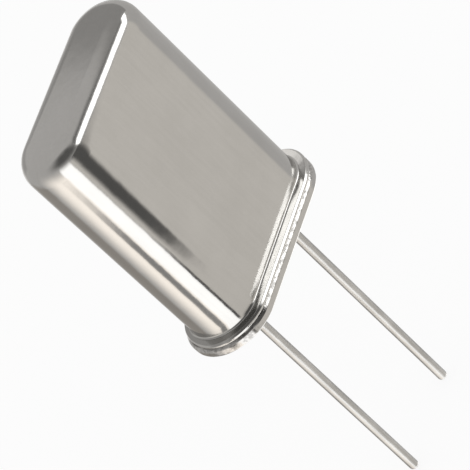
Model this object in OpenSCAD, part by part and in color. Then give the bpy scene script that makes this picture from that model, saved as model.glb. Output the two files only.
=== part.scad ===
// Two-lead quartz crystal in a welded metal holder.
//
// Frame: X runs along the pitch of the leads, Y through the thin way of the can, +Z up to its closed end.
// z = 0 is the seating plane, the underside of the base, and the origin lies midway between the leads.
// The can, its flange and the base share one stadium plan: two half-rounds joined by a straight run.
// Each of them is a profile of (distance out from the plan's centre line, height) carried round that plan.
//
// How it comes apart: grind off the welded rim and the can lifts away. That leaves the base with its two
// glass-sealed leads, a slotted spring clip on each lead's head, and the quartz blank held in both slots.

/* [Can] */
// Width of the can across its rounded ends
can_w = 9.65; // [9.4:0.05:12]
// Thickness of the can between its flat faces
can_t = 3.65; // [3.4:0.05:4.6]
// Height of the whole holder above the seating plane
holder_h = 13.1; // [12.6:0.1:18]
// Thickness of the drawn sheet
sheet_t = 0.25; // [0.15:0.01:0.3]
// Outside radius of the bend round the closed end
crown_r = 1; // [0.5:0.05:1.3]
// Thickness of the flange, where drawing leaves the sheet thicker than in the wall
flange_t = 0.37; // [0.33:0.01:0.5]
// Outside radius of the bend that turns the wall out into the flange
foot_r = 0.08; // [0.03:0.01:0.15]

/* [Rim] */
// How far both flanges stand out past the can's wall
rim_out = 0.5; // [0.45:0.01:0.7]
// Thickness of the base's own rim
rim_t = 0.42; // [0.35:0.01:0.7]
// Rounding on the can flange's upper edge
flange_edge_r = 0.08; // [0.04:0.01:0.15]
// Rounding on the two edges that face each other at the weld
seam_edge_r = 0.15; // [0.05:0.01:0.16]
// Rounding on the base rim's lower edge
rim_edge_r = 0.12; // [0.05:0.01:0.17]

/* [Base] */
// Height of the base's raised platform above the seating plane
platform_h = 1.6; // [1.3:0.05:2]
// Play between the platform and the inside of the can
platform_gap = 0.1; // [0.05:0.01:0.2]
// Radius at the foot of the platform
platform_foot_r = 0.2; // [0.1:0.01:0.3]
// Rounding on the platform's upper edge
platform_edge_r = 0.15; // [0.05:0.01:0.3]
// Bore of the eyelet that each glass seal fills
eyelet_d = 1.5; // [1.2:0.05:1.8]

/* [Glass seals] */
// How far the glass stops short of both faces of the base
glass_recess = 0.05; // [0.02:0.01:0.1]
// How far the glass sags between the wire and the eyelet wall
meniscus = 0.08; // [0.04:0.01:0.12]

/* [Leads] */
// Distance between the two leads
lead_pitch = 4.88; // [4.6:0.01:5.08]
// Diameter of the bare wire in its glass seal
wire_d = 0.43; // [0.38:0.01:0.5]
// Thickness of the solder coat on the wire
tin_t = 0.025; // [0.01:0.005:0.05]
// Bare wire between the seating plane and the start of the solder coat
bare_l = 0.3; // [0.1:0.05:1]
// Length over which the solder coat runs up to its full thickness
coat_run = 0.6; // [0.2:0.05:1]
// Length of each lead below the seating plane
lead_l = 13.8; // [3:0.1:20]
// Rounding on the lead's tip
tip_r = 0.2; // [0.05:0.01:0.2]
// Bare wire between the platform and the lead's head
neck_l = 0.5; // [0.3:0.05:0.8]
// Diameter of the flattened head
head_d = 1; // [0.7:0.05:1.2]
// Thickness of the flattened head
head_t = 0.2; // [0.1:0.05:0.3]

/* [Spring clips] */
// Thickness of the spring strip
strip_t = 0.1; // [0.06:0.01:0.15]
// Width of the spring strip
strip_w = 1.3; // [1:0.05:1.6]
// Inside radius of the strip's bends
strip_bend_r = 0.2; // [0.1:0.01:0.3]
// How far the rising part of the strip leans from upright, in degrees
strip_lean = 16; // [8:1:20]
// How far the strip's foot reaches in past the middle of the lead's head
strip_foot_in = 0.6; // [0.4:0.05:0.8]
// Strip left below the slot before it starts to lean
slot_to_bend = 0.6; // [0.3:0.05:0.9]
// Strip left above the slot
slot_to_top = 0.5; // [0.3:0.05:1]
// Play between the blank's plated faces and the sides of the slot
slot_play = 0.05; // [0.02:0.01:0.1]

/* [Quartz blank] */
// Diameter of the blank
blank_d = 8; // [6.5:0.1:8.2]
// Thickness of the blank
blank_t = 0.3; // [0.16:0.01:0.4]
// Width of the bevel round both edges of the blank
bevel_w = 0.15; // [0.05:0.01:0.3]
// Depth of that bevel
bevel_h = 0.06; // [0.02:0.01:0.07]
// Height of the blank's middle above the seating plane
blank_z = 7.4; // [7:0.1:7.8]
// How far the blank's rim passes through each clip
grip = 0.2; // [0.15:0.01:0.3]

/* [Electrodes and cement] */
// Diameter of the plated spot on each face of the blank
electrode_d = 5; // [3:0.1:6]
// Thickness of the plating
electrode_t = 0.03; // [0.02:0.005:0.05]
// Width of the plated tab that runs out to the rim
tab_w = 1.2; // [0.9:0.05:1.6]
// Radius of each dot of conductive cement
cement_r = 0.4; // [0.25:0.01:0.45]

/* [Hidden] */
$fn = 96;

left = -1;
right = 1;
front = -1;
rear = 1;
half_turn = 180;
quarter_turn = 90;
cut = 1; // how far a cutting tool passes the face that it cuts

wall_out = can_t / 2; // outside of the can's wall, from the plan's centre line
wall_in = wall_out - sheet_t;
plan_half = can_w / 2 - wall_out; // half the plan's straight run
rim_edge = wall_out + rim_out;
flange_top = rim_t + flange_t;
foot_r_in = foot_r + sheet_t;

platform_edge = wall_in - platform_gap;
lead_x = lead_pitch / 2;
wire_r = wire_d / 2;
tinned_r = wire_r + tin_t;
coat_z = bare_l + coat_run; // depth below the seat at which the coat is full
eyelet_r = eyelet_d / 2;
head_z = platform_h + neck_l;
head_top = head_z + head_t;

blank_r = blank_d / 2;
plated_face = blank_t / 2 + electrode_t;
strip_mid_r = strip_bend_r + strip_t / 2;
clip_x = blank_r - grip; // middle of the strip where it stands upright
clip_in = clip_x - strip_t / 2;
slot_w = 2 * (plated_face + slot_play);
slot_h = 2 * sqrt(pow(blank_r, 2) - pow(clip_in, 2)) + slot_w;
upright_z = blank_z - slot_h / 2 - slot_to_bend;
upright_l = slot_h + slot_to_bend + slot_to_top;
first_turn = quarter_turn - strip_lean;
strip_z = head_top + strip_t / 2;
lean_l = (upright_z - strip_z - strip_mid_r) / sin(first_turn);
strip_foot_end = clip_x - strip_mid_r - lean_l * cos(first_turn);
strip_foot_l = strip_foot_end - lead_x + strip_foot_in;

// Carries the profile drawn by its children round the stadium plan, as one filled solid
module round_plan() {
    for (side = [left, right])
        translate([side * plan_half, 0, 0])
            rotate([0, 0, side * quarter_turn])
                rotate_extrude(angle = half_turn, start = half_turn)
                    children();
    translate([-plan_half, 0, 0])
        rotate([quarter_turn, 0, quarter_turn])
            linear_extrude(2 * plan_half) {
                children();
                mirror([1, 0])
                    children();
            }
}

// A wall that rises from one height to another and turns over in a rounded upper corner
module wall(reach, bottom, top, top_r) {
    translate([0, bottom])
        square([reach, top - bottom - top_r]);
    translate([0, top - top_r])
        square([reach - top_r, top_r]);
    translate([reach - top_r, top - top_r])
        intersection() {
            circle(top_r);
            square(top_r);
        }
}

// The same wall with its lower corner rounded as well
module slab(reach, bottom, top, bottom_r, top_r) {
    middle = (bottom + top) / 2;
    wall(reach, middle, top, top_r);
    translate([0, middle])
        mirror([0, 1])
            wall(reach, 0, middle - bottom, bottom_r);
}

// The corner of metal left between a wall at wall_x and a floor at floor_y by a concave radius
module concave_corner(wall_x, floor_y, radius) {
    translate([wall_x, floor_y])
        difference() {
            square(radius);
            translate([radius, radius])
                circle(radius);
        }
}

module can_outside() {
    slab(rim_edge, rim_t, flange_top, seam_edge_r, flange_edge_r);
    wall(wall_out, rim_t, holder_h, crown_r);
    concave_corner(wall_out, flange_top, foot_r);
}

module can_inside() {
    wall(wall_in, rim_t - cut, holder_h - sheet_t, crown_r - sheet_t);
    concave_corner(wall_in, rim_t, foot_r_in);
}

// Drawn sheet: closed crown, flat wall of even thickness, and a foot that turns out into a thicker flange
module can() {
    color("Silver")
        round_plan()
            difference() {
                can_outside();
                can_inside();
            }
}

module base() {
    color("DarkGray")
        difference() {
            round_plan() {
                slab(rim_edge, 0, rim_t, rim_edge_r, seam_edge_r);
                wall(platform_edge, 0, platform_h, platform_edge_r);
                concave_corner(platform_edge, rim_t, platform_foot_r);
            }
            for (side = [left, right])
                translate([side * lead_x, 0, -cut])
                    cylinder(r = eyelet_r, h = platform_h + 2 * cut);
        }
}

// Glass between the wire and the eyelet, with a sagging face at both ends
module glass_seal(side) {
    span = eyelet_r - wire_r;
    sag_r = (pow(span / 2, 2) + pow(meniscus, 2)) / (2 * meniscus);
    color("DarkSlateGray")
        translate([side * lead_x, 0, 0])
            rotate_extrude()
                difference() {
                    translate([wire_r, glass_recess])
                        square([span, platform_h - 2 * glass_recess]);
                    translate([wire_r + span / 2, glass_recess + meniscus - sag_r])
                        circle(sag_r);
                    translate([wire_r + span / 2, platform_h - glass_recess - meniscus + sag_r])
                        circle(sag_r);
                }
}

// Wire with a flattened head inside the can, a solder coat that starts below the base and a rounded tip
module lead(side) {
    color("Gainsboro")
        translate([side * lead_x, 0, 0]) {
            translate([0, 0, head_z])
                cylinder(d = head_d, h = head_t);
            translate([0, 0, -coat_z])
                cylinder(r = wire_r, h = head_z + coat_z);
            mirror([0, 0, 1]) {
                translate([0, 0, bare_l])
                    cylinder(r1 = wire_r, r2 = tinned_r, h = coat_run);
                rotate_extrude()
                    wall(tinned_r, coat_z, lead_l, tip_r);
            }
        }
}

// One straight length of strip, starting at the origin and running along +X
module strip_run(run_l) {
    translate([0, -strip_w / 2, -strip_t / 2])
        cube([run_l, strip_w, strip_t]);
}

// One bend of the strip, starting along +X and turning up towards +Z
module strip_bend(turn) {
    translate([0, 0, strip_mid_r])
        rotate([quarter_turn, 0, 0])
            rotate_extrude(angle = turn, start = -quarter_turn)
                translate([strip_bend_r, -strip_w / 2])
                    square([strip_t, strip_w]);
}

// Places its children where a bend ends, facing the way that the strip now runs
module past_bend(turn) {
    translate([0, 0, strip_mid_r])
        rotate([0, -turn, 0])
            translate([0, 0, -strip_mid_r])
                children();
}

// Foot on the lead's head, a leaning rise, and an upright end with the slot for the blank's rim
module folded_strip() {
    translate([strip_foot_end - strip_foot_l, 0, strip_z]) {
        strip_run(strip_foot_l);
        translate([strip_foot_l, 0, 0]) {
            strip_bend(first_turn);
            past_bend(first_turn) {
                strip_run(lean_l);
                translate([lean_l, 0, 0]) {
                    strip_bend(strip_lean);
                    past_bend(strip_lean)
                        strip_run(upright_l);
                }
            }
        }
    }
}

module slot_tool() {
    round_h = slot_h - slot_w;
    translate([clip_x - cut / 2, 0, blank_z]) {
        translate([0, -slot_w / 2, -round_h / 2])
            cube([cut, slot_w, round_h]);
        for (end = [-round_h / 2, round_h / 2])
            translate([0, 0, end])
                rotate([0, quarter_turn, 0])
                    cylinder(d = slot_w, h = cut);
    }
}

module spring_clip(side) {
    color("LightSteelBlue")
        mirror([side == left ? 1 : 0, 0, 0])
            difference() {
                folded_strip();
                slot_tool();
            }
}

// Round plate of quartz, its flat faces towards the can's flat faces, bevelled to a thin rim
module quartz_blank() {
    half_t = blank_t / 2;
    color("Azure", 0.6)
        translate([0, 0, blank_z])
            rotate([quarter_turn, 0, 0])
                rotate_extrude()
                    polygon([[0, -half_t], [blank_r - bevel_w, -half_t], [blank_r, bevel_h - half_t],
                             [blank_r, half_t - bevel_h], [blank_r - bevel_w, half_t], [0, half_t]]);
}

// Plated spot on one face, with a tab that runs out to the clip on the given side
module electrode(face, side) {
    color("WhiteSmoke")
        translate([0, face == front ? -blank_t / 2 : plated_face, blank_z])
            rotate([quarter_turn, 0, 0])
                linear_extrude(electrode_t) {
                    circle(d = electrode_d);
                    intersection() {
                        translate([side == left ? -blank_r : 0, -tab_w / 2])
                            square([blank_r, tab_w]);
                        circle(blank_r - bevel_w);
                    }
                }
}

// A quarter of a ball in the corner between the clip and one face of the blank
module cement_dot(face, seat_y) {
    reach = cement_r + cut;
    translate([clip_in, face * seat_y, blank_z])
        intersection() {
            sphere(cement_r);
            translate([-reach, face == front ? -reach : 0, -reach])
                cube([reach, reach, 2 * reach]);
        }
}

// Each clip has a dot on both faces: one on the plated tab, one on bare quartz
module cement(side) {
    tab_face = side == left ? front : rear;
    color("LightGray")
        mirror([side == left ? 1 : 0, 0, 0]) {
            cement_dot(tab_face, plated_face);
            cement_dot(-tab_face, blank_t / 2);
        }
}

can();
base();
glass_seal(left);  // glass_seal_left
glass_seal(right);  // glass_seal_right
lead(left);  // lead_left
lead(right);  // lead_right
spring_clip(left);  // spring_clip_left
spring_clip(right);  // spring_clip_right
quartz_blank();
electrode(front, left);  // electrode_front
electrode(rear, right);  // electrode_rear
cement(left);  // cement_left
cement(right);  // cement_right
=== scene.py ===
# %% [markdown]
# # Dressing a two-lead quartz crystal in a welded metal holder
#
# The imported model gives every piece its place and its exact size. This script adds what a drawing leaves out:
# smooth drawn metal, the rough weld round the rim, solder on the leads, dark sealing glass, and a studio
# that lights it all. Each cell does one job and prints what it made or measured.

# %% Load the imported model
import math

import bpy
from mathutils import Matrix, Vector


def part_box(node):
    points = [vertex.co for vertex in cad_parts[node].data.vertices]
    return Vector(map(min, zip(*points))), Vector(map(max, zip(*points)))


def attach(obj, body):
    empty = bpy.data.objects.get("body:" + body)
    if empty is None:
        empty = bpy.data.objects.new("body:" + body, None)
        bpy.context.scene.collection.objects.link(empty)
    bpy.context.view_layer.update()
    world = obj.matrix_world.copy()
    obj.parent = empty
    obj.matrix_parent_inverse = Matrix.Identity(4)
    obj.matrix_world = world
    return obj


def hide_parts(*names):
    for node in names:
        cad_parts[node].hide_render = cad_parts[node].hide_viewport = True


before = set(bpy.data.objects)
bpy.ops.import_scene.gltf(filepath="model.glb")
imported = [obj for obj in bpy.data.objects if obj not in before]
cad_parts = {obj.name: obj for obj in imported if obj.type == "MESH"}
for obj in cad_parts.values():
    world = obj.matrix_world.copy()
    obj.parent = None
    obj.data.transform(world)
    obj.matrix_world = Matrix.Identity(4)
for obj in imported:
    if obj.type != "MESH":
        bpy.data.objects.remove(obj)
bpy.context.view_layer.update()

MM = 0.001
print("CAD nodes:", ", ".join(sorted(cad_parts)))

# %% [markdown]
# ## A small language for node trees
#
# Materials and Geometry Nodes are both graphs of sockets. Wiring each sum by hand hides the idea behind it,
# so one class wraps a socket and turns Python's own operators into Math nodes. Everything else, from a noise
# texture to a swept mesh, comes from one method that names the node, its settings and what goes in.

# %% Write sums on sockets as plain expressions
class Value:
    """A number, colour, vector or geometry that flows out of one node's socket."""

    def __init__(self, graph, socket):
        self.graph = graph
        self.socket = socket

    def math(self, operation, *others):
        return self.graph.node("ShaderNodeMath", {"operation": operation}, dict(enumerate((self, *others))))

    def turned_round(self, operation, other):
        return self.graph.node("ShaderNodeMath", {"operation": operation}, {0: other, 1: self})

    def __add__(self, other): return self.math("ADD", other)
    def __sub__(self, other): return self.math("SUBTRACT", other)
    def __mul__(self, other): return self.math("MULTIPLY", other)
    def __truediv__(self, other): return self.math("DIVIDE", other)
    def __mod__(self, other): return self.math("FLOORED_MODULO", other)
    def __neg__(self): return self.math("MULTIPLY", -1.0)
    def __abs__(self): return self.math("ABSOLUTE")
    def __radd__(self, other): return self.turned_round("ADD", other)
    def __rsub__(self, other): return self.turned_round("SUBTRACT", other)
    def __rmul__(self, other): return self.turned_round("MULTIPLY", other)
    def __rtruediv__(self, other): return self.turned_round("DIVIDE", other)

    def ramp(self, low, high):
        """0 below low, 1 above high, and a smooth rise between them."""
        return self.graph.node("ShaderNodeMapRange", {"interpolation_type": "SMOOTHSTEP"},
                               {0: self, 1: low, 2: high, 3: 0.0, 4: 1.0})

    def fall(self, low, high):
        """1 below low, 0 above high, and a smooth fall between them."""
        return 1 - self.ramp(low, high)

    def axes(self):
        return [self.graph.node("ShaderNodeSeparateXYZ", inputs={0: self}, output=i) for i in range(3)]

    def scaled(self, factors):
        return self.graph.node("ShaderNodeVectorMath", {"operation": "MULTIPLY"}, {0: self, 1: factors})


class Graph:
    """A node tree that is written one value at a time."""

    def __init__(self, tree):
        self.tree = tree

    def node(self, kind, settings=None, inputs=None, output=0):
        made = self.tree.nodes.new(kind)
        for name, setting in (settings or {}).items():
            setattr(made, name, setting)
        for key, value in (inputs or {}).items():
            socket = made.inputs[key]
            if isinstance(value, Value):
                self.tree.links.new(value.socket, socket)
            else:
                socket.default_value = value
        return Value(self, made.outputs[output]) if made.outputs else made

    def blend(self, factor, low, high):
        """A colour between two colours."""
        return self.node("ShaderNodeMix", {"data_type": "RGBA"}, {0: factor, 6: low, 7: high}, output=2)


def colour(red, green, blue):
    return (red, green, blue, 1.0)


print("Helpers ready: Value, Graph")

# %% [markdown]
# ## The camera
#
# The view looks down on a corner of the holder from about 150 mm away with a long lens, and is rolled so
# that the holder runs from the upper left to the lower right. The three rows below are the camera's own
# right, up and backward directions.

# %% Place the camera
CAMERA_AT = Vector((-71.9774, -96.6447, 87.2699)) * MM
CAMERA_RIGHT = (0.297351, -0.748213, -0.593093)
CAMERA_UP = (0.821132, -0.116549, 0.558711)
CAMERA_BACK = (-0.487159, -0.653141, 0.579726)
LENS_MM = 259.235
SENSOR_MM = 36.0
SEES_FROM_MM = 10
SEES_TO_M = 10.0

camera = bpy.data.objects.new("camera", bpy.data.cameras.new("camera"))
bpy.context.scene.collection.objects.link(camera)
turn = Matrix((CAMERA_RIGHT, CAMERA_UP, CAMERA_BACK)).transposed()
camera.matrix_world = Matrix.Translation(CAMERA_AT) @ turn.to_4x4()
camera.data.sensor_width = SENSOR_MM
camera.data.lens = LENS_MM
camera.data.clip_start = SEES_FROM_MM * MM
camera.data.clip_end = SEES_TO_M
bpy.context.scene.camera = camera
bpy.context.scene.view_settings.view_transform = "Standard"
print(f"Camera {CAMERA_AT.length / MM:.0f} mm away with a {LENS_MM:.0f} mm lens")

# %% [markdown]
# ## What the metal sees
#
# Plated metal has almost no colour of its own: its look is a picture of the room. Photographers hang pale
# and dark cards round a small metal part for that reason. Here the room is painted into the world as a
# plain tone with soft-edged cards at given compass and height angles, and only reflections see the cards.
# Compass angles start at the side that the broad face looks to and grow towards the narrow end at the left.
# Where two cards overlap, the later one in the list lies on top.

# %% List the cards
PLAIN_LIGHT = 0.9
WHITE, PLAIN = (1, 1, 1), (1, 0.98, 0.96)
PALE, WARM = (1, 0.96, 0.905), (1, 0.935, 0.865)
ROOM = (0.55, PLAIN)

# name: (compass, height, half width, half height, soft edge across, soft edge along, brightness, tint)
CARDS = {
    "pale table": (-5, -30, 42, 52, 12, 8, 0.74, PALE),
    "warm card": (88, -60, 34, 55, 44, 70, 1.55, WARM),
    "dark ceiling": (32, 60, 62, 24, 60, 30, 0.12, PLAIN),
    "low softbox": (55, -40, 17.5, 62, 2.5, 28, 1.68, WHITE),
    "dark beam": (-48, 52, 16, 5, 34, 8, 0.17, PLAIN),
    "front softbox": (-50, 35.5, 28, 8.5, 10, 3, 2.7, WHITE),
    "grey corner": (168, -50, 26, 26, 10, 20, 0.36, WARM),
    "low side card": (-90, -58, 37, 12, 12, 6, 2.2, PLAIN),
    "rear shade": (-158, 4, 22, 10, 10, 8, 0.42, PLAIN),
    "rear floor": (-160, -24, 14, 7, 8, 8, 0.84, PLAIN),
    "rear card": (-152, -40, 12, 9, 18, 6, 0.6, PLAIN),
    "bright floor below": (0, -90, 180, 28, 9, 14, 1.7, WHITE),
}


def shade(brightness, tint):
    """A tint at a given brightness. White at 1 is as bright as the ground."""
    return colour(*(brightness * part for part in tint))


def soft_band(distance, half, soft):
    """1 within half of a card's middle and 0 outside, with an edge that is soft over a given width."""
    return distance.fall(half - soft / 2, half + soft / 2)


def inside_card(compass, height, card):
    """How far inside a card a direction lies, from 0 outside it to 1 inside."""
    centre, level, half_width, half_height, soft_across, soft_along = card[:6]
    across = abs((compass - centre + 180.0) % 360.0 - 180.0)
    along = abs(height - level)
    return soft_band(across, half_width, soft_across) * soft_band(along, half_height, soft_along)


print(f"{len(CARDS)} cards in a room of tone {ROOM[0]}")

# %% Paint the room and hang the cards in it
world = bpy.data.worlds.new("studio")
bpy.context.scene.world = world
world.use_nodes = True
world.node_tree.nodes.clear()
studio = Graph(world.node_tree)
direction = studio.node("ShaderNodeTexCoord", output=0)
east, north, up = direction.axes()
compass = (-east).math("ARCTAN2", -north) * math.degrees(1)
height = up.math("ARCSINE") * math.degrees(1)
seen = studio.node("ShaderNodeRGB")
seen.socket.default_value = shade(*ROOM)
for card in CARDS.values():
    seen = studio.blend(inside_card(compass, height, card), seen, shade(*card[6:]))
is_camera = studio.node("ShaderNodeLightPath", output="Is Camera Ray")
is_glossy = studio.node("ShaderNodeLightPath", output="Is Glossy Ray")
seen = studio.blend(is_glossy, shade(PLAIN_LIGHT, WHITE), seen)
seen = studio.blend(is_camera, seen, colour(*WHITE))
background = studio.node("ShaderNodeBackground", inputs={"Color": seen, "Strength": 1.0})
studio.node("ShaderNodeOutputWorld", inputs={"Surface": background})
print(f"Studio has {len(world.node_tree.nodes)} nodes")

# %% [markdown]
# ## Floor and lamp
#
# The leads' tips touch a plain pale floor. One large soft lamp gives the object its shadow there. To the
# camera the paper mostly glows, which keeps the ground white and the shadow faint.

# %% Lay the floor
FLOOR_HALF = 0.5
FLOOR_COLOUR = colour(0.9, 0.9, 0.9)
GLOW_SHARE = 0.85

lowest_z = min(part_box("lead_left")[0].z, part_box("lead_right")[0].z)
floor_mesh = bpy.data.meshes.new("floor")
corners = [(x * FLOOR_HALF, y * FLOOR_HALF, lowest_z) for x, y in ((-1, -1), (1, -1), (1, 1), (-1, 1))]
floor_mesh.from_pydata(corners, [], [(0, 1, 2, 3)])
floor = bpy.data.objects.new("floor", floor_mesh)
bpy.context.scene.collection.objects.link(floor)
floor.visible_glossy = False

floor_look = bpy.data.materials.new("floor_paper")
floor_look.use_nodes = True
floor_look.node_tree.nodes.clear()
paper = Graph(floor_look.node_tree)
seen = paper.node("ShaderNodeLightPath", output="Is Camera Ray")
matte = paper.node("ShaderNodeBsdfDiffuse", inputs={"Color": FLOOR_COLOUR})
glow = paper.node("ShaderNodeEmission", inputs={"Color": colour(*WHITE), "Strength": 1.0})
both = paper.node("ShaderNodeMixShader", inputs={0: seen * GLOW_SHARE, 1: matte, 2: glow})
paper.node("ShaderNodeOutputMaterial", inputs={"Surface": both})
floor_mesh.materials.append(floor_look)
print(f"Floor at {lowest_z / MM:.2f} mm")

# %% Hang the lamp
LAMP_SIZE = 0.12
LAMP_AT = Vector((-0.05, -0.12, 0.16))
LAMP_WATTS = 0.02

lamp_data = bpy.data.lights.new("soft_lamp", "AREA")
lamp_data.size = LAMP_SIZE
lamp_data.energy = LAMP_WATTS
lamp = bpy.data.objects.new("soft_lamp", lamp_data)
bpy.context.scene.collection.objects.link(lamp)
lamp.location = LAMP_AT
lamp.rotation_euler = LAMP_AT.to_track_quat("Z", "Y").to_euler()
lamp.visible_glossy = False
print(f"Lamp {LAMP_AT.length / MM:.0f} mm away")

# %% [markdown]
# ## Cards close by
#
# Far cards look the same from every point of a flat face. A card that stands a few millimetres away does
# not: its mirror image slides and fades as the surface runs on. Narrow dark cards low in front and at the
# left line the rounded end, a broad one in front shades its upper part, and one overhead shades the far end
# of the crown. A level one over the left end of the flange works from below only, so that the flange mirrors
# it and the crown doesn't, and a bright one behind the far end lights the flange there. Each card has soft
# edges: its mask is 1 where it is solid and 0 where it is clear.

# %% Write one recipe for a near card
def near_card(name, corners, tone, mask, from_below=False):
    """A flat card that only reflections see. The mask reads the place on the card in mm."""
    mesh = bpy.data.meshes.new(name)
    mesh.from_pydata([tuple(part * MM for part in corner) for corner in corners], [], [(0, 1, 2, 3)])
    card = bpy.data.objects.new(name, mesh)
    bpy.context.scene.collection.objects.link(card)
    card.visible_camera = card.visible_diffuse = card.visible_shadow = False
    look = bpy.data.materials.new(name)
    look.use_nodes = True
    look.node_tree.nodes.clear()
    graph = Graph(look.node_tree)
    place = graph.node("ShaderNodeTexCoord", output="Object").scaled((1 / MM,) * 3)
    seen = mask(*place.axes())
    if from_below:
        seen = seen * graph.node("ShaderNodeNewGeometry", output="Backfacing")
    solid = graph.node("ShaderNodeEmission", inputs={"Color": colour(*PLAIN), "Strength": tone})
    clear = graph.node("ShaderNodeBsdfTransparent")
    graph.node("ShaderNodeOutputMaterial", inputs={
        "Surface": graph.node("ShaderNodeMixShader", inputs={0: seen, 1: clear, 2: solid})})
    mesh.materials.append(look)


def facing_front(y, low_x, high_x, low_z, high_z):
    return (low_x, y, low_z), (high_x, y, low_z), (high_x, y, high_z), (low_x, y, high_z)


def facing_left(x, low_y, high_y, low_z, high_z):
    return (x, low_y, low_z), (x, high_y, low_z), (x, high_y, high_z), (x, low_y, high_z)


def lying(z, low_x, high_x, low_y, high_y):
    return (low_x, low_y, z), (high_x, low_y, z), (high_x, high_y, z), (low_x, high_y, z)


print("Near card recipe ready")

# %% Stand the near cards
def slanting_edge(x, z):
    """The front card's right edge, which runs outwards and softens as it rises."""
    return ((x - z * 0.25 + 0.9) / (1.3 + z * 0.2)).fall(-1, 1)


near_card("front_near_card", facing_front(-13.7, -11.3, 9, -4.6, 21), 0.11,
          lambda x, y, z: x.ramp(-11.2, -7.0) * z.ramp(-4.5, -0.9) * slanting_edge(x, z))
near_card("thin_near_card", facing_front(-13.6, -14.4, -11, -25, -1.5), 0.04,
          lambda x, y, z: (x.ramp(-14.0, -13.5) * x.fall(-11.5, -11.1)
                           * z.fall(-6.5, -2.0) * z.ramp(-10.9, -10.2)))
near_card("left_near_card", facing_left(-17, -4.5, 0.8, -25, 6), 0.33,
          lambda x, y, z: y.ramp(-4.3, -3.5) * y.fall(-0.6, 0.6) * z.fall(-1.5, 5.5) * z.ramp(-9.2, -8.0))
near_card("overhead_near_card", lying(25, 6, 45, -6, 45), 0.34,
          lambda x, y, z: (x - y * 0.26 - 6.3).ramp(0.2, 4.5))
near_card("end_near_card", lying(4, -13, 1, -2, 10), 0.36,
          lambda x, y, z: x.ramp(-12.5, -10) * y.ramp(-1, 1.5), from_below=True)
near_card("rear_near_card", lying(11, 9.5, 18, 8, 18), 1.1,
          lambda x, y, z: x.ramp(9.8, 10.6) * y.ramp(8.2, 9.2))
print("Near cards stand")

# %% [markdown]
# ## Finishes
#
# Every finish is written in millimetres, so that a grain size can be read off a ruler. A finish has a base
# colour that drifts a little, a roughness that drifts with it, and a fine relief that catches the light.
# Noise hangs round a half, so a ramp about that middle turns it into patches.

# %% Write one recipe for every finish
def start_finish(name):
    look = bpy.data.materials.new(name)
    look.use_nodes = True
    look.node_tree.nodes.clear()
    graph = Graph(look.node_tree)
    place = graph.node("ShaderNodeTexCoord", output="Object").scaled((1 / MM,) * 3)
    return look, graph, place


def noise(graph, place, per_mm, detail=2.0, stretch=(1, 1, 1)):
    """Cloudy values round 0.5, with a given number of clouds to the millimetre."""
    return graph.node("ShaderNodeTexNoise", inputs={
        "Vector": place.scaled(stretch), "Scale": per_mm, "Detail": detail, "Roughness": 0.55})


def finish(look, graph, base, roughness, relief=None, relief_mm=0.0, **fixed):
    """Ends a material: what varies is wired in, and what is the same all over is set on the shader."""
    inputs = {"Base Color": base, "Roughness": roughness}
    inputs.update({name.replace("_", " "): value for name, value in fixed.items()})
    if relief is not None:
        inputs["Normal"] = graph.node("ShaderNodeBump", inputs={
            "Height": relief, "Strength": 1.0, "Distance": relief_mm * MM})
    shader = graph.node("ShaderNodeBsdfPrincipled", inputs=inputs)
    graph.node("ShaderNodeOutputMaterial", inputs={"Surface": shader})
    return look


print("Finish recipe ready")

# %% [markdown]
# ## Satin nickel and the weld
#
# Can and base are plated with nickel. Drawing leaves faint upright streaks in it and a slow ripple. The two
# flanges are joined by one short burst of current all round, which roughens a fringe beside the seam and spits
# dark spatter on the rim below. A thin dark line along the seam is painted shade for the groove where the
# flanges meet, strongest round the ends, with a faint burn from the weld along the sides. The spatter is
# strongest along the straight sides, and round the ends finer specks cover the rim's full height.
# Height and distance from the middle say where each mark lies, and noise breaks it up.

# %% Mix the weld's marks and the seam's painted shade
SEAM_Z = 0.53
# The darkest colour is painted shade in the seam's groove, mixed with a faint burn from the weld.
SEAM_SHADE_AND_BURN = colour(0.10, 0.095, 0.09)
SPATTER = colour(0.2, 0.195, 0.185)
SPECK = colour(0.3, 0.29, 0.28)
SPATTER_Z = SEAM_Z - 0.08
SPECK_Z = 0.27
SEAM_LINE_ROUGHER = 0.25


def near_height(z, level, full, gone):
    """1 within full of a level and 0 beyond gone."""
    return abs(z - level).fall(full, gone)


def weld_marks(graph, place, base):
    """Adds weld marks and the seam's painted shade to a base. Returns it, the seam line's mask and the rough
    fringe.
    """
    x, _, z = place.axes()
    # The seam line is painted shade for the groove, strongest round the ends; along the sides it is a faint
    # weld burn.
    seam_shade_and_burn = near_height(z, SEAM_Z, 0.03, 0.08) * (0.25 + noise(graph, place, 3, 2).ramp(0.42, 0.6) * 0.75)
    seam_shade_and_burn = seam_shade_and_burn * (0.05 + abs(x).ramp(2.6, 3.6) * 0.95)
    fringe = near_height(z, SEAM_Z, 0.1, 0.17) * noise(graph, place, 11, 2)
    base = graph.blend(seam_shade_and_burn, base, SEAM_SHADE_AND_BURN)
    spatter = near_height(z, SPATTER_Z, 0.06, 0.12) * noise(graph, place, 5, 3).ramp(0.42, 0.62)
    spatter = spatter * (1 - abs(x).ramp(3.2, 4.2) * 0.8)
    base = graph.blend(spatter * 0.75, base, SPATTER)
    specks = near_height(z, SPECK_Z, 0.2, 0.3) * noise(graph, place, 6, 3).ramp(0.44, 0.64)
    specks = specks * abs(x).ramp(3.6, 4.4)
    base = graph.blend(specks * 0.7, base, SPECK)
    return base, seam_shade_and_burn, fringe


print(f"Weld line at {SEAM_Z} mm")

# %% Mix the satin nickel of the can and the base
NICKEL_RELIEF_MM = 0.0009


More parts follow.
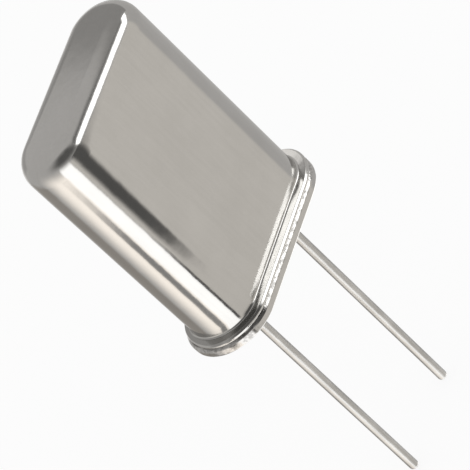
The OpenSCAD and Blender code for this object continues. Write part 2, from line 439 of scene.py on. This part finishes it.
def satin_nickel(name, dark, pale, roughness):
    look, graph, place = start_finish(name)
    drift = noise(graph, place, 0.35, 3)
    streaks = noise(graph, place, 5, 2, (1, 1, 0.06))
    grain = noise(graph, place, 9, 3)
    peel = noise(graph, place, 4.5, 2)
    ripple = noise(graph, place, 1.3, 1)
    mix = (drift * 0.6 + streaks * 0.25 + grain * 0.15).ramp(0.3, 0.7)
    base, seam_shade_and_burn, fringe = weld_marks(graph, place, graph.blend(mix, dark, pale))
    rough = roughness + (drift - 0.5) * 0.05 + (grain - 0.5) * 0.05 + seam_shade_and_burn * SEAM_LINE_ROUGHER
    relief = ripple * 8 + peel + grain * 0.12 + streaks * 0.05 + fringe * 12
    return finish(look, graph, base, rough, relief, NICKEL_RELIEF_MM, Metallic=1.0)


can_look = satin_nickel("can_nickel", colour(0.575, 0.568, 0.55), colour(0.625, 0.617, 0.60), 0.12)
base_look = satin_nickel("base_nickel", colour(0.56, 0.552, 0.535), colour(0.64, 0.63, 0.615), 0.13)
print("Nickel mixed for the can and the base")

# %% [markdown]
# ## Drawn and turned pieces
#
# The can and the base share one plan, two half-rounds joined by a straight run, and each is a profile of
# reach and height carried round it. A lead and a glass seal are the same thing with no straight run. So
# one Geometry Nodes tree makes all of them: a grid with a row for each profile point and a column for each
# step round the plan, whose points are then moved to where the rule puts them.
#
# A drawn can isn't quite even all the way round. So each profile point also says how far it leans out at the
# rounded ends, or, where that number is negative, how far it is set back on the rear half of them. The
# tree's inputs say where along the part these two begin and where they reach their full size.

# %% Name the tree's inputs
def number_input(tree, name, kind, value):
    socket = tree.interface.new_socket(name, in_out="INPUT", socket_type=kind)
    if value is not None:
        socket.default_value = value
    return socket


# where the lean and the set-back begin and where they are full, in mm from the middle of the part
UNEVEN_FROM_TO = {
    "Lean from x": 1.8, "Lean full at x": 3.4,
    "Set back from x": 2.8, "Set back full at x": 4.0,
    "Set back from y": -0.8, "Set back full at y": 1.2,
}

sweep_tree = bpy.data.node_groups.new("carry_profile_round_plan", "GeometryNodeTree")
sweep_tree.interface.new_socket("Geometry", in_out="OUTPUT", socket_type="NodeSocketGeometry")
sweep_inputs = {
    name: number_input(sweep_tree, name, kind, value)
    for name, kind, value in (
        ("Profile", "NodeSocketGeometry", None), ("Half of straight run", "NodeSocketFloat", 0.003),
        ("Steps round each end", "NodeSocketInt", 64), ("Steps along each side", "NodeSocketInt", 12),
        ("Middle", "NodeSocketVector", None), ("Finish", "NodeSocketMaterial", None),
        *((name, "NodeSocketFloat", place * MM) for name, place in UNEVEN_FROM_TO.items()))
}
sweep = Graph(sweep_tree)
given = {name: sweep.node("NodeGroupInput", output=name) for name in sweep_inputs}
print("Sweep tree inputs:", ", ".join(sweep_inputs))

# %% Lay out the grid and find where round the plan each column lies
rows = sweep.node("GeometryNodeAttributeDomainSize", inputs={0: given["Profile"]})
half_run = given["Half of straight run"]
end_steps = given["Steps round each end"]
side_steps = given["Steps along each side"]
columns = (end_steps + side_steps) * 2 + 1
grid = sweep.node("GeometryNodeMeshGrid", inputs={"Vertices X": rows, "Vertices Y": columns})
number = sweep.node("GeometryNodeInputIndex")
row = (number / columns).math("FLOOR")
column = number % columns
profile_point = sweep.node("GeometryNodeSampleIndex", {"data_type": "FLOAT_VECTOR"}, {
    "Geometry": given["Profile"], "Value": sweep.node("GeometryNodeInputPosition"), "Index": row})
reach, lean, level = profile_point.axes()
half = (column / (end_steps + side_steps)).math("FLOOR") % 2
step = column % (end_steps + side_steps)
swing = (step / end_steps).math("MINIMUM", 1)
run = (step - end_steps).math("MAXIMUM", 0) / side_steps
angle = (swing - 0.5) * math.pi + half * math.pi
way = 1 - half * 2
spine_x = (half_run - half_run * run * 2) * way
print("Each half of the plan is one end and one side")

# %% Move the points, close the mesh and give it its finish
DOUBLES_WITHIN = 0.0000005

to_side = abs(spine_x + reach * angle.math("COSINE"))
to_rear = reach * angle.math("SINE")
leaning = lean.math("MAXIMUM", 0) * to_side.ramp(given["Lean from x"], given["Lean full at x"])
set_back = lean.math("MINIMUM", 0) * to_side.ramp(given["Set back from x"], given["Set back full at x"])
set_back = set_back * to_rear.ramp(given["Set back from y"], given["Set back full at y"])
reach = reach + leaning + set_back
x = spine_x + reach * angle.math("COSINE")
y = reach * angle.math("SINE")
place = sweep.node("ShaderNodeCombineXYZ", inputs={0: x, 1: y, 2: level})
place = sweep.node("ShaderNodeVectorMath", {"operation": "ADD"}, {0: place, 1: given["Middle"]})
moved = sweep.node("GeometryNodeSetPosition", inputs={"Geometry": grid, "Position": place})
closed = sweep.node("GeometryNodeMergeByDistance", inputs={"Geometry": moved, "Distance": DOUBLES_WITHIN})
smooth = sweep.node("GeometryNodeSetShadeSmooth", inputs={"Geometry": closed, "Shade Smooth": True})
real = sweep.node("GeometryNodeRealizeInstances", inputs={"Geometry": smooth})
finished = sweep.node("GeometryNodeSetMaterial", inputs={"Geometry": real, "Material": given["Finish"]})
sweep.node("NodeGroupOutput", inputs={0: finished})
print(f"Sweep tree has {len(sweep_tree.nodes)} nodes")

# %% [markdown]
# ## From corners to a profile
#
# A draughtsman gives a turned piece by its corners and their radii. The function below does the same and
# puts a short arc in each corner. Smooth shading blends over whole faces, so a point held close to each end
# of an arc keeps the bend's shading inside the bend.

# %% Turn a short list of corners into a smooth profile
ARC_STEPS = 8
HOLD_MM = 0.015


def profile_points(corners, closed=True):
    """Each corner is (reach, height, radius) in mm. Radius 0 stays sharp. Returns (reach, height) points."""
    points = []
    count = len(corners)
    for i, (reach, height, radius) in enumerate(corners):
        here = Vector((reach, height))
        if radius == 0:
            points.append(here)
            continue
        before = Vector(corners[i - 1][:2]) - here
        after = Vector(corners[(i + 1) % count][:2]) - here
        turned = math.pi - before.angle(after)
        cut_back = radius * math.tan(turned / 2)
        to_before, to_after = before.normalized(), after.normalized()
        start, end = here + to_before * cut_back, here + to_after * cut_back
        middle = here + (to_before + to_after).normalized() * (radius / math.cos(turned / 2))
        points.append(start + to_before * HOLD_MM)
        first, last = start - middle, end - middle
        sweep_angle = first.angle_signed(last)
        for k in range(ARC_STEPS + 1):
            spoke = first.copy()
            spoke.rotate(Matrix.Rotation(-sweep_angle * k / ARC_STEPS, 2))
            points.append(middle + spoke)
        points.append(end + to_after * HOLD_MM)
    if closed:
        points.append(points[0])
    return [(p.x, p.y) for p in points]


def host_of(points, name, lean_at=None):
    """A mesh of the profile alone, which the tree reads: x is reach, z is height, and y is the lean."""
    leans = [lean_at(*point) if lean_at else 0 for point in points]
    mesh = bpy.data.meshes.new(name)
    mesh.from_pydata(
        [(reach * MM, lean * MM, height * MM) for (reach, height), lean in zip(points, leans)], [], [])
    made = bpy.data.objects.new(name, mesh)
    bpy.context.scene.collection.objects.link(made)
    return made


print("An arc takes", ARC_STEPS, "steps")

# %% [markdown]
# ## From rule to plain mesh
#
# A tree is handy while sizes change, but a finished part is a plain mesh. So each piece runs the tree once
# and keeps the result. Where the profile meets the axis, many points fall on one spot: they are merged, the
# slivers between them go, and every face is turned outwards, so that the piece is closed all round.

# %% Run the tree and keep its result
import bmesh

SHARP_ABOVE = math.radians(32)
SAME_POINT_WITHIN = 2e-7
SLIVER_BELOW = 1e-8


def bake(host, tree, sockets, values):
    """Sets the modifier's inputs by their identifiers, evaluates it and swaps the result in."""
    modifier = host.modifiers.new("rule", "NODES")
    modifier.node_group = tree
    for name, value in values.items():
        modifier[sockets[name].identifier] = value
    evaluated = host.evaluated_get(bpy.context.evaluated_depsgraph_get())
    mesh = bpy.data.meshes.new_from_object(evaluated)
    mesh.name = host.name
    host.modifiers.remove(modifier)
    host.data = mesh
    return host


def close_and_turn_out(piece):
    """Merges doubles, drops slivers, turns every face outwards and keeps real edges crisp."""
    work = bmesh.new()
    work.from_mesh(piece.data)
    bmesh.ops.remove_doubles(work, verts=work.verts, dist=SAME_POINT_WITHIN)
    bmesh.ops.dissolve_degenerate(work, dist=SLIVER_BELOW, edges=work.edges)
    bmesh.ops.recalc_face_normals(work, faces=work.faces)
    open_edges = sum(1 for edge in work.edges if len(edge.link_faces) != 2)
    work.to_mesh(piece.data)
    work.free()
    piece.data.shade_smooth()
    piece.data.set_sharp_from_angle(angle=SHARP_ABOVE)
    return open_edges


def sweep_piece(name, look, corners, half_run=0.0, end_steps=64, side_steps=12, middle=(0, 0, 0), closed=True,
                lean_at=None):
    piece = host_of(profile_points(corners, closed), name, lean_at)
    bake(piece, sweep_tree, sweep_inputs, {
        "Half of straight run": half_run * MM, "Steps round each end": end_steps,
        "Steps along each side": side_steps, "Middle": Vector(middle) * MM, "Finish": look,
        **{name: place * MM for name, place in UNEVEN_FROM_TO.items()}})
    open_edges = close_and_turn_out(piece)
    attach(piece, "root")
    print(f"{name}: {len(piece.data.polygons)} faces, {open_edges} open edges")
    return piece


# %% [markdown]
# ## The can
#
# The can is one sheet of metal, deep drawn into a tall cup and then turned out into a flange at its mouth.
# Deep drawing leaves the sheet nearly even in thickness and the crown generously rounded, so the profile is
# drawn once as the outside and once, a sheet's thickness in, as the inside. The flange falls slightly towards
# its edge, its upper edge is slanted, and the wall leans out a little just above the foot.

# %% Sweep the can
PLAN_HALF = 3.0
WALL = 1.825
SHEET = 0.25
HOLDER_H = 13.1
CROWN_R = 1.0
RIM_T = SEAM_Z
RIM_EDGE = 2.325
FLANGE_T = 0.26
FLANGE_TOP = RIM_T + FLANGE_T
FLANGE_FALL = 0.025
FLANGE_SLANT = 0.08
FLANGE_EDGE_R = 0.03
SEAM_EDGE_R = 0.1
FOOT_R = 0.11
MOUTH_R = 0.08 + SHEET
LEAN = 0.05
LEAN_H = 0.36
LEAN_STEPS = 8
SET_BACK = 0.15
WALL_WITHIN = 0.001


def flange_top(reach):
    return FLANGE_TOP - FLANGE_FALL * (reach - WALL) / (RIM_EDGE - WALL)


def can_lean(reach, height):
    """How far a point leans out: the flange is set back, and the sheet above the foot leans outwards."""
    if reach > WALL + FOOT_R and height <= FLANGE_TOP:
        return -SET_BACK * (reach - WALL - FOOT_R) / (RIM_EDGE - WALL - FOOT_R)
    above = (height - FLANGE_TOP) / LEAN_H
    if not 0 <= above < 1 or not WALL - WALL_WITHIN <= reach <= WALL + FOOT_R:
        return 0
    return LEAN * (1 - above) ** 2


lean_corners = [(WALL, FLANGE_TOP + LEAN_H * (1 - k / LEAN_STEPS), 0) for k in range(LEAN_STEPS - 1)]
can = sweep_piece("can_drawn", can_look, [
    (0, HOLDER_H, 0), (WALL, HOLDER_H, CROWN_R), *lean_corners, (WALL, FLANGE_TOP, FOOT_R),
    (RIM_EDGE - FLANGE_SLANT, flange_top(RIM_EDGE - FLANGE_SLANT), FLANGE_EDGE_R),
    (RIM_EDGE, flange_top(RIM_EDGE) - FLANGE_SLANT, FLANGE_EDGE_R), (RIM_EDGE, RIM_T, SEAM_EDGE_R),
    (WALL - SHEET, RIM_T, MOUTH_R), (WALL - SHEET, HOLDER_H - SHEET, CROWN_R - SHEET),
    (0, HOLDER_H - SHEET, 0)], half_run=PLAN_HALF, closed=False, lean_at=can_lean)
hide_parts("can")

# %% [markdown]
# ## The base
#
# The base is a pressed and turned plate: a rim that carries the can's flange, a platform that steps up
# inside the can, and two holes for the glass. The rule gives its outside, and two round cutters bore it.

# %% Sweep the base
PLATFORM = 1.475
PLATFORM_H = 1.6
PLATFORM_EDGE_R = 0.15
PLATFORM_FOOT_R = 0.2
BASE_SLANT = 0.17
SLANT_TOP_R = 0.05
SLANT_FOOT_R = 0.1
RIM_EDGE_R = 0.1

base = sweep_piece("base_plate", base_look, [
    (0, PLATFORM_H, 0), (PLATFORM, PLATFORM_H, PLATFORM_EDGE_R), (PLATFORM, RIM_T, PLATFORM_FOOT_R),
    (RIM_EDGE - BASE_SLANT, RIM_T, SLANT_TOP_R), (RIM_EDGE, RIM_T - BASE_SLANT, SLANT_FOOT_R),
    (RIM_EDGE, 0, RIM_EDGE_R), (0, 0, 0)],
    half_run=PLAN_HALF, closed=False)

# %% Bore the eyelets
EYELET_R = 0.75
LEAD_X = 2.44
CUT_PAST = 1


def round_cutter(name, x, radius, low, high, steps=64):
    ring = [(math.cos(2 * math.pi * k / steps), math.sin(2 * math.pi * k / steps)) for k in range(steps)]
    points = [((x + c * radius) * MM, s * radius * MM, z * MM) for z in (low, high) for c, s in ring]
    sides = [(k, (k + 1) % steps, steps + (k + 1) % steps, steps + k) for k in range(steps)]
    caps = [tuple(reversed(range(steps))), tuple(range(steps, 2 * steps))]
    mesh = bpy.data.meshes.new(name)
    mesh.from_pydata(points, [], sides + caps)
    made = bpy.data.objects.new(name, mesh)
    bpy.context.scene.collection.objects.link(made)
    return made


cutters = [round_cutter(f"cutter_{side}", way * LEAD_X, EYELET_R, -CUT_PAST, PLATFORM_H + CUT_PAST)
           for side, way in (("left", -1), ("right", 1))]
for cutter in cutters:
    bore = base.modifiers.new("bore", "BOOLEAN")
    bore.operation, bore.solver, bore.object = "DIFFERENCE", "EXACT", cutter
bored = bpy.data.meshes.new_from_object(base.evaluated_get(bpy.context.evaluated_depsgraph_get()))
base.modifiers.clear()
base.data = bored
for cutter in cutters:
    bpy.data.objects.remove(cutter)
open_edges = close_and_turn_out(base)
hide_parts("base")
print(f"Bored base: {len(base.data.polygons)} faces, {open_edges} open edges")

# %% [markdown]
# ## The leads
#
# Each lead is one wire that was dipped in solder after the holder was sealed. The bare wire shows for a
# fraction of a millimetre under the glass, the coat swells to its full thickness, and the dip leaves the
# tip rounded. Solder that cools in a thin coat is grey and a little uneven along the wire.

# %% Mix the solder
SOLDER_RELIEF_MM = 0.006


def tinned_wire():
    look, graph, place = start_finish("tinned_wire")
    drift = noise(graph, place, 1.1, 3, (1, 1, 0.5))
    streaks = noise(graph, place, 6, 2, (1, 1, 0.12))
    grain = noise(graph, place, 14, 2)
    mix = (drift * 0.6 + streaks * 0.4).ramp(0.32, 0.68)
    base = graph.blend(mix, colour(0.50, 0.495, 0.48), colour(0.64, 0.635, 0.62))
    rough = 0.36 + (drift - 0.5) * 0.3
    relief = streaks + drift + grain * 0.3
    return finish(look, graph, base, rough, relief, SOLDER_RELIEF_MM, Metallic=1.0)


tin_look = tinned_wire()
print("Solder mixed")

# %% Sweep both leads
WIRE_R = 0.215
TINNED_R = 0.24
BARE_L = 0.3
COAT_Z = 0.9
LEAD_L = 13.8
TIP_R = 0.2
HEAD_R = 0.5
HEAD_Z = 2.1
HEAD_TOP = 2.3
HEAD_EDGE_R = 0.03

lead_corners = [
    (0, HEAD_TOP, 0), (HEAD_R, HEAD_TOP, HEAD_EDGE_R), (HEAD_R, HEAD_Z, HEAD_EDGE_R), (WIRE_R, HEAD_Z, 0),
    (WIRE_R, -BARE_L, 0), (TINNED_R, -COAT_Z, 0), (TINNED_R, -LEAD_L, TIP_R), (0, -LEAD_L, 0)]
for side, way in (("left", -1), ("right", 1)):
    lead = sweep_piece(f"lead_{side}_wire", tin_look, lead_corners, end_steps=24, side_steps=1,
                       middle=(way * LEAD_X, 0, 0), closed=False)
    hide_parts(f"lead_{side}")

# %% [markdown]
# ## The glass seals
#
# Powdered glass was melted between wire and eyelet. It wets both metals, so each face sags between them.
# Dark glass hides what lies behind it, and a few trapped bubbles show as pale specks.

# %% Mix the glass
GLASS_RELIEF_MM = 0.006


def sealing_glass():
    look, graph, place = start_finish("seal_glass")
    cloud = noise(graph, place, 1.2, 3)
    cells = graph.node("ShaderNodeTexVoronoi", inputs={"Vector": place, "Scale": 6.0})
    bubble = cells.fall(0.12, 0.2)
    base = graph.blend(cloud.ramp(0.3, 0.7), colour(0.012, 0.020, 0.018), colour(0.03, 0.045, 0.04))
    base = graph.blend(bubble * 0.35, base, colour(0.16, 0.2, 0.18))
    return finish(look, graph, base, 0.1 + cloud * 0.12, noise(graph, place, 2.5, 2), GLASS_RELIEF_MM)


glass_look = sealing_glass()
print("Glass mixed")

# %% Sweep both glass seals
GLASS_LOW, GLASS_HIGH = 0.05, 1.55
SAG = 0.08

span = EYELET_R - WIRE_R
sag_radius = ((span / 2) ** 2 + SAG ** 2) / (2 * SAG)


def sagging_face(height, way, steps=12):
    """Points from the wire to the eyelet along a face that sags into the glass."""
    found = []
    for k in range(steps + 1):
        reach = WIRE_R + span * k / steps
        drop = math.sqrt(sag_radius ** 2 - (reach - WIRE_R - span / 2) ** 2) - (sag_radius - SAG)
        found.append((reach, height - way * drop, 0))
    return found


glass_corners = sagging_face(GLASS_HIGH, 1) + list(reversed(sagging_face(GLASS_LOW, -1)))
for side, way in (("left", -1), ("right", 1)):
    seal = sweep_piece(f"glass_{side}", glass_look, glass_corners, end_steps=32, side_steps=1,
                       middle=(way * LEAD_X, 0, 0))
    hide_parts(f"glass_seal_{side}")

# %% [markdown]
# ## What the can hides
#
# The clips, the quartz and its silver are seen only when the can is taken off, but they are real parts of
# the object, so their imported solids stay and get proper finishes.

# %% Finish the inner pieces
def plain_finish(name, dark, pale, per_mm, roughness, relief_mm, **fixed):
    look, graph, place = start_finish(name)
    cloud = noise(graph, place, per_mm, 3)
    fine = noise(graph, place, per_mm * 8, 2)
    base = graph.blend((cloud * 0.7 + fine * 0.3).ramp(0.3, 0.7), dark, pale)
    return finish(look, graph, base, roughness + (fine - 0.5) * 0.1, cloud + fine * 0.5, relief_mm, **fixed)


def give(look, *nodes):
    for name in nodes:
        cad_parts[name].material_slots[0].material = look


give(plain_finish("spring_strip", colour(0.5, 0.48, 0.44), colour(0.62, 0.6, 0.56),
                  per_mm=2, roughness=0.25, relief_mm=0.001, Metallic=1.0),
     "spring_clip_left", "spring_clip_right")
give(plain_finish("lapped_quartz", colour(0.72, 0.76, 0.78), colour(0.82, 0.85, 0.86),
                  per_mm=1.5, roughness=0.3, relief_mm=0.001, IOR=1.54, Transmission_Weight=0.6),
     "quartz_blank")
give(plain_finish("silver_plating", colour(0.78, 0.77, 0.74), colour(0.88, 0.87, 0.84),
                  per_mm=2, roughness=0.3, relief_mm=0.0008, Metallic=1.0),
     "electrode_front", "electrode_rear")
give(plain_finish("silver_cement", colour(0.42, 0.42, 0.42), colour(0.55, 0.55, 0.54),
                  per_mm=5, roughness=0.55, relief_mm=0.01, Metallic=0.4),
     "cement_left", "cement_right")
print("Inner pieces finished")
